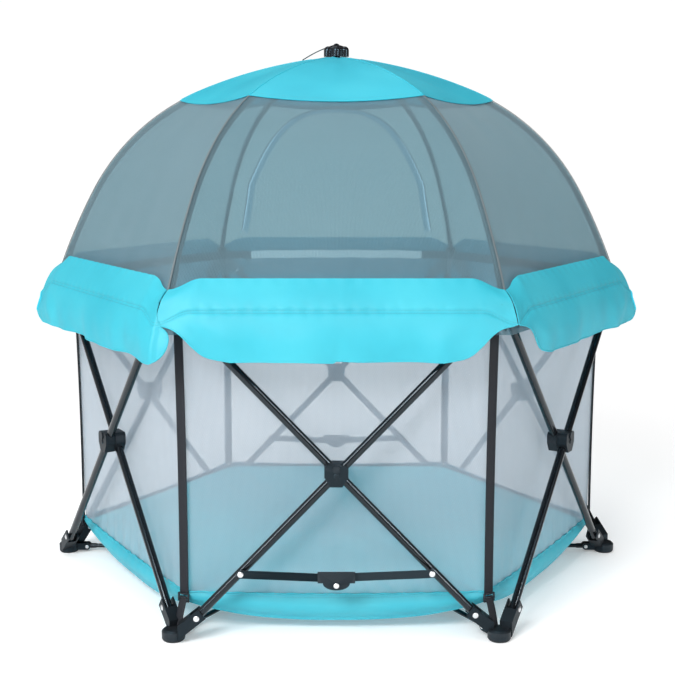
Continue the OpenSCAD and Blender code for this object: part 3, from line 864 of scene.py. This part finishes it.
# name, both edges across the arch, height over the poles, thickness, material
ZIP_STRIPS = (
    ("zip_tape", -0.0085, 0.0085, 0.0030, 0.0010, ZIP_TAPE_GLOW),
    ("zip_teeth", -0.0016, 0.0016, 0.0044, 0.0014, HEM_DARK),
    ("zip_edge", 0.0090, 0.0108, 0.0028, 0.0012, HEM_DARK),
)
for k, way, tag in ((4, -1, "r"), (5, 1, "l")):  # side 4 runs from corner 4 (its x negative) to corner 5
    for name, edge0, edge1, lift, thick, mat in ZIP_STRIPS:
        piece = arch_strip(f"{name}_{tag}", edge0 * way, edge1 * way, GAP + lift, thick, mat, 0.0, -way, f"pole_{k}")
        gather_to_pole(piece)
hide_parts("door_zip")

# ---------------------------------------------------------------- valance
def curve(k, v, q):
    """Smooth curve through the values v at k, read at q."""
    k, v = np.asarray(k, float), np.asarray(v, float)
    h = np.diff(k)
    d = np.diff(v) / h
    m = np.empty_like(v)
    m[1:-1] = (d[:-1] * h[1:] + d[1:] * h[:-1]) / (h[1:] + h[:-1])
    m[0], m[-1] = d[0], d[-1]
    j = np.clip(np.searchsorted(k, q) - 1, 0, len(k) - 2)
    t = (q - k[j]) / h[j]
    start = (2 * t**3 - 3 * t**2 + 1) * v[j] + (t**3 - 2 * t**2 + t) * h[j] * m[j]
    return start + (-2 * t**3 + 3 * t**2) * v[j + 1] + (t**3 - t**2) * h[j] * m[j + 1]


# lie of the flap: distance down the cloth, then outwards and upwards at mid-side and at the corner
FLAP_W = (0.0, 0.018, 0.060, 0.105, 0.160)
MID_U = (0.5235, 0.5330, 0.5600, 0.5715, 0.5740)
MID_Z = (RIM + 0.034, RIM + 0.0195, RIM - 0.0205, RIM - 0.063, RIM - 0.119)
END_U = (0.5225, 0.5370, 0.5575, 0.5665, 0.5735)
END_Z = (RIM + 0.014, RIM + 0.0010, RIM - 0.0430, RIM - 0.084, RIM - 0.137)
TAN30 = math.tan(math.radians(30))
NOTCH = 0.060  # how far down the cloth two flaps part
# lower outlines of a flap's end, from the notch on: how far past (+) or short of (-) the corner line, and how far down
ENDS = {
    "lobe": (
        (0.0, 0.007, 0.010, 0.005, -0.014, -0.046, -0.100),
        (NOTCH, 0.076, 0.096, 0.118, 0.138, 0.1485, 0.1500),
    ),
    "cut": (
        (0.0, -0.016, -0.034, -0.052, -0.072, -0.098, -0.140),
        (NOTCH, 0.070, 0.085, 0.103, 0.123, 0.142, 0.1505),
    ),
    "wrap": (
        (0.0, 0.024, 0.036, 0.032, 0.008, -0.032, -0.100),
        (NOTCH, 0.074, 0.096, 0.122, 0.143, 0.1515, 0.1505),
    ),
}
LOBED = ("lobe", "lobe")
END_STYLE = {1: ("cut", "cut"), 2: ("cut", "lobe"), 3: LOBED, 4: LOBED, 5: LOBED, 6: ("lobe", "wrap")}


def flap_surface(i, x, w, ph):
    """Where the cloth of side i's flap lies: x along the side (it may run on round the corner), w down the cloth."""
    uc, zc = curve(FLAP_W, END_U, w), curve(FLAP_W, END_Z, w)
    xc = uc * TAN30
    e = np.clip(np.abs(x) / xc, 0, 1)
    fade = np.exp(-np.clip(w - NOTCH, 0, 1) / 0.09)
    f = smooth01((e - 0.62) / 0.38) * fade
    g = smooth01((e - 0.80) / 0.20)
    u = curve(FLAP_W, MID_U, w) * (1 - f) + uc * f
    z = curve(FLAP_W, MID_Z, w) * (1 - g * fade) + zc * g * fade
    low = smooth01((w - NOTCH) / 0.05)
    hang = smooth01((w - NOTCH) / 0.09)
    # the upper band is a shallow roll, the lower one billows and falls in soft folds
    roll = 0.0030 * np.sin(np.clip(w / FLAP_SEAM, 0, 1) * math.pi) * (1 - f)
    billow = 0.0045 * np.sin(np.clip((w - FLAP_SEAM) / 0.09, 0, 1) * math.pi) * (1 - 0.5 * f)
    folds = 0.0042 * np.sin(x * 21 + ph[0])
    folds = folds + 0.0022 * np.sin(x * 47 + ph[1] + 9 * w) + 0.0012 * np.sin(x * 83 + ph[2] - 14 * w)
    folds = folds * hang
    pull = 0.0018 * low * np.sin((np.abs(x) + 1.3 * w) * 60 + ph[3]) * np.exp(-((e - 0.72) / 0.13) ** 2)
    groove = -0.0026 * np.exp(-(((w - FLAP_SEAM - 0.001) / 0.0030) ** 2))
    pucker = 0.0009 * np.sin(x * 230 + ph[4]) * np.exp(-(((w - FLAP_SEAM) / 0.010) ** 2))
    pucker = pucker + 0.0008 * np.sin(x * 190 + ph[5]) * np.exp(-((w / 0.014) ** 2))
    crease = 0.0009 * np.sin(w * 170 + ph[3]) * np.exp(-(((1 - e) - 0.06) / 0.04) ** 2) * smooth01(w / 0.01)
    calm = 1 - 0.85 * smooth01((e - 0.84) / 0.14)
    clear = 0.0035 * np.exp(-(((1 - e) / 0.10) ** 2)) * smooth01((0.085 - w) / 0.02)
    flat_end = 1 - 0.7 * smooth01((e - 0.84) / 0.14)
    u = u + roll + billow + (folds + pull) * calm + (groove + pucker) * flat_end
    u = u - crease * (w < NOTCH + 0.03) + clear
    # past the corner the cloth turns with it
    over = np.clip(np.abs(x) - xc, 0, 1)
    side = np.sign(x)
    p = on_side(i, side * np.minimum(np.abs(x), xc), u, z)
    turn_in = (side * 0.5)[..., None] * along_dir(i) - (0.866 * np.ones_like(side))[..., None] * out_dir(i)
    straight = side[..., None] * along_dir(i)
    blend = smooth01(over / 0.016)[..., None]
    lean = np.where(over[..., None] > 0, straight * (1 - 0.8 * blend) + turn_in * 0.8 * blend, 0)
    return p + over[..., None] * lean


def flap_grid(i, seed):
    half, rows = 52, 44
    c = np.linspace(-1, 1, 2 * half + 1)
    left, right = (np.array(ENDS[n]).T for n in END_STYLE[i])
    q = np.linspace(0, 1, len(left))
    depth = 0.1500 + 0.0012 * np.sin(c * 9 + seed) - (0.0030 - 0.0050 * c) * (i == 1)
    xb, wb = np.zeros_like(c), depth.copy()
    # the last 40% of each half follows its end's outline, the rest runs level
    edge = 0.58
    for sgn, tab in ((-1, left), (1, right)):
        m = c * sgn > edge
        s_ = (1 - c[m] * sgn) / (1 - edge)
        wv = curve(q, tab[:, 1], s_)
        off = curve(q, tab[:, 0], s_)
        xb[m] = sgn * (curve(FLAP_W, END_U, wv) * TAN30 + off)
        wb[m] = wv
        xe = curve(FLAP_W, END_U, np.array([tab[-1, 1]]))[0] * TAN30 + tab[-1, 0]
        n = (c * sgn <= edge) & (c * sgn >= 0)
        xb[n] = sgn * xe * (c[n] * sgn / edge)
        wb[n] = tab[-1, 1] + (depth[n] - depth[np.argmin(abs(c - sgn * edge))]) * smooth01((edge - c[n] * sgn) / 0.2)
    rr = np.linspace(0, 1, rows)[None, :]
    W = wb[:, None] * rr
    # columns start evenly along the top seam and drift to their places on the lower edge
    XC = curve(FLAP_W, END_U, W) * TAN30
    top = c[:, None] * XC
    X = top * (1 - rr**1.5) + xb[:, None] * rr**1.5
    X[0], X[-1] = -XC[0], XC[-1]
    ph = np.random.RandomState(seed).uniform(0, 2 * math.pi, 6)
    p = flap_surface(i, X, W, ph)
    n = outward(p, 0.3)
    uv = np.stack([X, W], -1)
    return (p[: half + 1], n[: half + 1], uv[: half + 1]), (p[half:], n[half:], uv[half:])


for i in range(1, 7):
    for half, k, tag in zip(flap_grid(i, 100 + i), (i, nxt(i)), "lr"):
        # the back flaps, 3 to 5, take the copy with the painted glow
        flap_mat = FLAP_BACKLIT_GLOW if i in (3, 4, 5) else FLAP_CLOTH
        o = sheet(f"valance_{i}_{tag}", [half], flap_mat, 0.0020, f"top_{k}")
        bind = tube_along(f"valance_bind_{i}_{tag}", half[0][:, -1], 0.0018, flap_mat, f"top_{k}")
        for piece in (o, bind):
            gather(piece)
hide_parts("valance")

# ---------------------------------------------------------------- mesh walls, hem and tub
WALL_TOP = RIM - 0.004
WALL_LOW = MAT_Z + 0.003
WALL_COLUMNS, TUB_COLUMNS = 61, 65


def wall_point(s, h):
    """(along the side, outwards, up) of a wall: s across from -1 to 1, h from 0 at the floor to 1 at the top hem."""
    rho = FLOOR_R + 0.004 * h
    z = WALL_LOW + (WALL_TOP - 0.014 - WALL_LOW) * h
    z = z - 0.006 * (1 - s**2) * (1 - h) ** 3
    x = s * rho / 2
    bulge = 0.010 * (1 - s**2) * np.sin(np.clip(h, 0, 1) * math.pi) ** 0.8
    return x, rho * C30 - bulge, z


for i in range(1, 7):
    s = np.linspace(-1, 1, WALL_COLUMNS)[:, None]
    h = np.linspace(0, 1, 50)[None, :]
    x, u, z = wall_point(s, h)
    S, H = np.broadcast_arrays(s, h)
    # gathers below the hem near the corners, soft folds elsewhere
    ph = np.random.RandomState(200 + i).uniform(0, 6.28, 6)
    near_corner = np.exp(-(1 - np.abs(S)) * 5)
    fold = 0.0040 * near_corner * np.exp(-(1 - H) * 3.2) * np.sin(S * 46 + ph[0] + 3 * H)
    fold += 0.0022 * np.exp(-(1 - H) * 5) * np.sin(S * 30 + ph[1])
    fold += 0.0016 * waves(S * 2.4, H * 1.6, 210 + i, 3, 1.5)
    fold += 0.0020 * np.exp(-H * 9) * np.sin(S * 38 + ph[2])
    fold *= np.clip((1 - np.abs(S)) * 18, 0, 1)
    p = on_side(i, x, u + fold, z)
    n = outward(p, 0.0)
    uv = arc_uv(p)
    for sl, k, tag in two_halves(i, WALL_COLUMNS):
        o = sheet(f"wall_net_{i}_{tag}", [(p[sl], n[sl], uv[sl])], WALL_NET, 0, f"top_{k}")
        gather_to_corner(o)
    # hem between wall and dome: dark tape, pale with a painted glow where the door's lower edge is bound
    s2 = np.linspace(-1, 1, WALL_COLUMNS)
    rho = FLOOR_R + 0.0058
    xs = s2 * rho / 2
    rows = np.linspace(WALL_TOP - 0.0165, WALL_TOP + 0.0035, 5)[None, :]
    lift = 0.0005 * np.sin(xs * 60 + i) + 0.004 * (1 - s2**2)
    hp = on_side(i, xs[:, None], rho * C30 + 0.0008 * np.sin(s2 * 25 + i)[:, None], rows + lift[:, None])
    hn = outward(hp, 0.0)
    huv = arc_uv(hp)[..., ::-1]
    for sl, k, tag in two_halves(i, WALL_COLUMNS):
        o = sheet(f"top_hem_{i}_{tag}", [(hp[sl], hn[sl], huv[sl])], HEM_DARK, 0.0022, f"top_{k}")
        pieces = [o]
        if i == 4:
            m = np.abs(xs) < 0.226
            m &= (xs <= 1e-9) if tag == "l" else (xs >= -1e-9)
            sill = (hp[m] - hn[m] * 0.0016, -hn[m], huv[m])
            pieces.append(sheet(f"door_sill_{tag}", [sill], HEM_PALE_GLOW, 0.0012, f"top_{k}"))
        for piece in pieces:
            gather_to_corner(piece)
        if i == 1 and tag == "l":
            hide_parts("top_hem")
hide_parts("wall_mesh")

# tub: cloth sides that hang below the wall seam, lowest in the middle of each side
TUB_LOW, TUB_RISE = 0.0195, 0.041  # lowest edge at mid-side, and how much higher it is at the corners
for i in range(1, 7):
    s = np.linspace(-1, 1, TUB_COLUMNS)[:, None]
    r = np.linspace(0, 1, 16)[None, :]
    _, top_u, top_z = wall_point(s, np.zeros_like(s))
    low_z = TUB_LOW + TUB_RISE * np.abs(s) ** 2.6
    z = (top_z + 0.001) * (1 - r) + low_z * r
    deep = top_z - low_z
    belly = 0.010 * np.sin(np.clip(r * 1.15, 0, 1) * math.pi) * (deep / 0.06)
    u = top_u + 0.0012 + belly - 0.016 * r**2 * (deep / 0.06)
    S, RR = np.broadcast_arrays(s, r)
    x = S * (FLOOR_R / 2) * (1 - 0.004 * RR)
    pucker = 0.0016 * np.exp(-RR * 5) * np.sin(S * 52 + i)
    pucker += 0.0011 * waves(S * 3, RR * 1.2, 300 + i, 3, 1.7) * RR
    pucker *= np.clip((1 - np.abs(S)) * 16, 0, 1)
    p = on_side(i, x, u + pucker, z)
    n = outward(p, -0.1)
    uv = np.stack([x, np.broadcast_to(RR * 0.06, x.shape)], -1)
    for sl, k, tag in two_halves(i, TUB_COLUMNS):
        o = sheet(f"tub_side_{i}_{tag}", [(p[sl], n[sl], uv[sl])], TUB_CLOTH, 0.0012, f"top_{k}")
        gather_to_corner(o)
        # piping on the seam between wall and tub
        pipe = tube_along(f"tub_piping_{i}_{tag}", (p[sl, 0] + n[sl, 0] * 0.0012), 0.0017, TUB_CLOTH, f"top_{k}")
        gather_to_corner(pipe)
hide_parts("floor_tub")

# ---------------------------------------------------------------- floor mat in six folding sections
for i in range(1, 7):
    b = FLOOR_A - 0.006
    nr, nc = 30, 41
    r = np.linspace(0.0, 1, nr)[None, :]
    s = np.linspace(-1, 1, nc)[:, None]
    u = np.broadcast_to(0.004 + (b - 0.004) * r, (nc, nr))
    x = s * u * math.tan(math.radians(30)) * 0.994
    S, RR = np.broadcast_arrays(s, r)
    edge = np.minimum(np.minimum((1 - np.abs(S)) * u * 0.5, (1 - RR) * b), 0.03) / 0.03
    crown = 0.0045 * np.sqrt(np.clip(edge, 0, 1)) + 0.0012 * waves(x * 9, u * 9, 400 + i, 3, 1.0) * edge
    ztop = MAT_Z - 0.0045 + crown
    zbot = MAT_Z - 0.0095 - 0.0008 * edge
    top = on_side(i, x, u, ztop)
    bot = on_side(i, x, u, zbot)
    nt_, nb_ = grid_normals(top), grid_normals(bot)
    nt_ *= np.sign(nt_[..., 2:3].mean())
    nb_ *= -np.sign(nb_[..., 2:3].mean())
    V = list(top.reshape(-1, 3)) + list(bot.reshape(-1, 3))
    off = nc * nr
    idx = np.arange(off).reshape(nc, nr)
    F = []
    for q in grid_quads(idx).tolist():
        F += [q, [v + off for v in q[::-1]]]
    ring = grid_edge(idx)
    for v0, v1 in zip(ring, ring[1:] + ring[:1]):
        F.append([v0, v1, v1 + off, v0 + off])
    P2 = np.stack([x, u], -1).reshape(-1, 2)
    LUV = [P2[v % off] for q in F for v in q]
    o = object_from(f"mat_panel_{i}", V, F, MAT_CLOTH, None, LUV)
    fix_winding(o)
    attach(o, f"mat_{i}")
    gather(o)
    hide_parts(f"mat_{i}")
    # the tub's bottom sheet under this section, hanging down to the base struts
    r = np.linspace(0.02, 1, 18)[None, :]
    s = np.linspace(-1, 1, 33)[:, None]
    S, RR = np.broadcast_arrays(s, r)
    u = (FLOOR_A - 0.0165 + 0.013 * np.abs(S) ** 2.6) * RR
    x = S * u * math.tan(math.radians(30)) * 0.992
    rim = TUB_LOW + 0.0005 + TUB_RISE * np.abs(S) ** 2.6
    flat = STRUT_Z + 0.0145
    z = flat + (rim - flat) * RR**6 + 0.0008 * waves(x * 8, u * 8, 500 + i, 3, 1.0) * (1 - RR)
    p = on_side(i, x, u, z)
    n = grid_normals(p)
    n *= -np.sign(n[..., 2:3].mean())
    o = sheet(f"tub_base_{i}", [(p, n, np.stack([x, u + 1], -1))], TUB_CLOTH, 0.0010, f"mat_{i}")
    gather(o)

# webbing star under the floor: each arm ends in a pocket around the end of its base strut
POCKET_BACK, POCKET_END = CENTRE_REACH - 0.0068, CENTRE_REACH + 0.0194
for k in range(1, 7):
    low, high = STRUT_Z - 0.0058, STRUT_Z + 0.0068
    runs = (
        ("web_arm", [(0.0255, low), (POCKET_BACK, low)]),
        ("web_pocket", [(POCKET_END, low), (POCKET_BACK, low), (POCKET_BACK, high), (POCKET_END, high)]),
    )
    for tag, corners in runs:
        corners = np.array(corners)
        far_along = run_length(corners)
        t = np.unique(np.concatenate([np.linspace(0, far_along[-1], 16), far_along]))
        path = on_spoke(k, np.interp(t, far_along, corners[:, 0]), 0.0, np.interp(t, far_along, corners[:, 1]))
        o = ribbon(f"{tag}_{k}", path, tau_dir(k), 0.0160, 0.0011, STRAP, "centre_hub")
        gather(o)

# ---------------------------------------------------------------- webbing, buckles, cord
for k in range(1, 7):
    # corner webbing down the outside of the wall corner
    h = np.linspace(0, 1, 26)
    rho = FLOOR_R + 0.0044 + 0.0048 * h - 0.0030 * np.sin(h * math.pi)
    path = on_spoke(k, rho, 0.0, MAT_Z + 0.001 + (RIM - 0.020 - MAT_Z - 0.001) * h)
    o = ribbon(f"corner_webbing_{k}", path, tau_dir(k), 0.020, 0.0018, STRAP, f"top_{k}")
    if k == 1:
        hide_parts("corner_webbing")
    # tail strap from the buckle to the foot
    q = np.linspace(0, 1, 14)
    rho = FLOOR_R + 0.0052 + 0.020 * q + 0.002 * np.sin(q * math.pi)
    path = on_spoke(k, rho, 0.0, MAT_Z - 0.004 - (MAT_Z - 0.024) * q)
    o = ribbon(f"foot_strap_{k}", path, tau_dir(k), 0.0165, 0.0014, STRAP, f"foot_{k}")
    if k == 1:
        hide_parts("foot_webbing")


def ladder_lock(k):
    """Buckle with two slots, rounded bars and a lifted tongue."""
    bm = bmesh.new()
    wide, tall, thick = 0.0125, 0.0085, 0.0021  # half of each

    def bar(x0, x1, z0, z1, y0, y1):
        vs = [bm.verts.new((x, y, z)) for x in (x0, x1) for y in (y0, y1) for z in (z0, z1)]
        for f in ((0, 1, 3, 2), (4, 6, 7, 5), (0, 4, 5, 1), (2, 3, 7, 6), (0, 2, 6, 4), (1, 5, 7, 3)):
            bm.faces.new([vs[j] for j in f])

    bar(-wide, -wide + 0.0032, -tall, tall, -thick, thick)
    bar(wide - 0.0032, wide, -tall, tall, -thick, thick)
    for z0, z1, lift in ((tall - 0.0030, tall, 0.0), (-0.0016, 0.0016, 0.0006), (-tall, -tall + 0.0030, 0.0012)):
        bar(-wide + 0.0030, wide - 0.0030, z0, z1, -thick * 0.8 - lift, thick * 0.8)
    bmesh.ops.bevel(bm, geom=bm.edges[:], offset=0.0007, segments=2, affect="EDGES", clamp_overlap=True)
    me = bpy.data.meshes.new(f"ladder_lock_{k}")
    bm.to_mesh(me)
    bm.free()
    # local x runs sideways, -y outwards, z up
    th, up, d = tau_dir(k), np.array([0, 0, 1.0]), spoke_dir(k)
    c = on_spoke(k, FLOOR_R + 0.0066, 0.0, MAT_Z - 0.006)
    co = np.zeros(len(me.vertices) * 3)
    me.vertices.foreach_get("co", co)
    co = co.reshape(-1, 3)
    co = c + co[:, :1] * th - co[:, 1:2] * d + co[:, 2:] * up
    me.vertices.foreach_set("co", co.ravel())
    me.materials.append(PLASTIC)
    me.polygons.foreach_set("use_smooth", [True] * len(me.polygons))
    me.update()
    o = scene_object(f"ladder_lock_{k}", me)
    fix_winding(o)
    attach(o, f"foot_{k}")
    return o


for k in range(1, 7):
    o = ladder_lock(k)
    if k == 1:
        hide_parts("buckles")

# pull cord from the crown's loop down to the cap
loop = np.array([-0.0062, 0.0, POLE_TIP[1] + 0.0375])
end = on_spoke(6, 0.073, 0.0, pole(TURN_END - 2.3, GAP + 0.005)[1])
q = np.linspace(0, 1, 24)[:, None]
path = loop * (1 - q) + end * q
path[:, 2] += 0.003 * np.sin(q[:, 0] * math.pi)
o = tube_along("pull_cord_line", path, 0.0011, CORD, "crown")
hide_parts("pull_cord")

# ---------------------------------------------------------------- floor, light, camera
def ramp_value(nt, x):
    """0.60 at the far left of the room falling to 0.07 in front of it and at its right."""
    r = node(nt, "MapRange", interpolation_type="SMOOTHSTEP")
    r.inputs["From Min"].default_value, r.inputs["From Max"].default_value = -0.92, -0.15
    r.inputs["To Min"].default_value, r.inputs["To Max"].default_value = 0.60, 0.07
    nt.links.new(x, r.inputs["Value"])
    return r.outputs["Result"]


SENSOR, IMAGE_HEIGHT, FOCAL_LENGTH = 32, 700, 1265.8  # millimetres, pixels, pixels
CAMERA_BACK, CAMERA_UP, CAMERA_TILT = 4.566, 1.495, 9.13  # in foot radii, and degrees downwards
ROOM_LIGHT = 0.62
FLOOR_FADE = (0.95, 2.6)  # distance over which the floor runs out into the white room


def studio():
    bpy.ops.mesh.primitive_plane_add(size=600, location=(0, 0, -0.0005))
    floor = bpy.context.object
    floor.name = "studio_floor"
    finish = {"Roughness": 0.9, "Specular IOR Level": 0.05, "Emission Color": (1, 1, 1, 1)}
    m, nt, b, _ = new_mat("pale_floor", finish)
    away = node(nt, "VectorMath", operation="LENGTH")
    nt.links.new(coords(nt), away.inputs[0])
    far = node(nt, "MapRange", interpolation_type="SMOOTHSTEP")
    far.inputs["From Min"].default_value, far.inputs["From Max"].default_value = FLOOR_FADE
    nt.links.new(away.outputs["Value"], far.inputs["Value"])
    seen = node(nt, "LightPath").outputs["Is Camera Ray"]
    lift = mul(nt, far.outputs["Result"], seen)
    nt.links.new(mad(nt, lift, 0.80, 0.22), b.inputs["Emission Strength"])
    nt.links.new(mix_col(nt, lift, (0.90, 0.90, 0.90), (0.0, 0.0, 0.0)), b.inputs["Base Color"])
    floor.data.materials.append(m)
    # seen directly the room is white; it lights softly, and gloss surfaces see it darker
    w = bpy.data.worlds.new("studio")
    w.use_nodes = True
    nt = w.node_tree
    bg = nt.nodes["Background"]
    ray = node(nt, "LightPath")
    # gloss surfaces see a bright left and a dark right
    way = node(nt, "SeparateXYZ")
    nt.links.new(node(nt, "TexCoord").outputs["Generated"], way.inputs[0])
    side = ramp_value(nt, way.outputs[0])
    gloss = mul(nt, ray.outputs["Is Glossy Ray"], math_node(nt, "SUBTRACT", side, ROOM_LIGHT))
    soft = add(nt, gloss, ROOM_LIGHT)
    total = add(nt, soft, mul(nt, ray.outputs["Is Camera Ray"], 0.40))
    nt.links.new(total, bg.inputs[1])
    bg.inputs[0].default_value = (1.0, 1.0, 1.0, 1)
    bpy.context.scene.world = w

    def area(name, loc, target, size, power):
        li = bpy.data.lights.new(name, "AREA")
        li.shape = "RECTANGLE"
        li.size, li.size_y = size
        li.energy = power
        o = scene_object(name, li)
        o.location = loc
        o.rotation_euler = (Vector(target) - Vector(loc)).to_track_quat("-Z", "Y").to_euler()
        return o

    area("key", (-1.7, -3.6, 3.1), (0, 0, 0.6), (2.0, 1.6), 182)
    area("fill", (3.2, -2.2, 1.6), (0, 0, 0.5), (1.6, 2.0), 16)
    area("top", (-0.4, 0.4, 4.2), (0, 0, 0.8), (2.6, 2.6), 36)
    # two narrow strips that only show as thin lines on the glossy tubes
    for side in (-1, 1):
        strip = area("strip_l" if side < 0 else "strip_r", (side * 2.5, -2.6, 1.75), (0, -0.5, 0.3), (0.22, 1.7), 60)
        strip.visible_diffuse = False

    cam = bpy.data.cameras.new("camera")
    cam.sensor_fit = "VERTICAL"
    cam.sensor_height = SENSOR
    cam.lens = SENSOR * FOCAL_LENGTH / IMAGE_HEIGHT
    cam.shift_x = 0.0016
    cam.clip_start = 0.05
    co = scene_object("camera", cam)
    co.location = (0, -CAMERA_BACK * R, CAMERA_UP * R)
    co.rotation_euler = (math.radians(90 - CAMERA_TILT), 0, 0)
    sc = bpy.context.scene
    sc.camera = co
    sc.view_settings.view_transform = "Standard"
    sc.view_settings.look = "None"
    sc.view_settings.exposure = 0.0


studio()
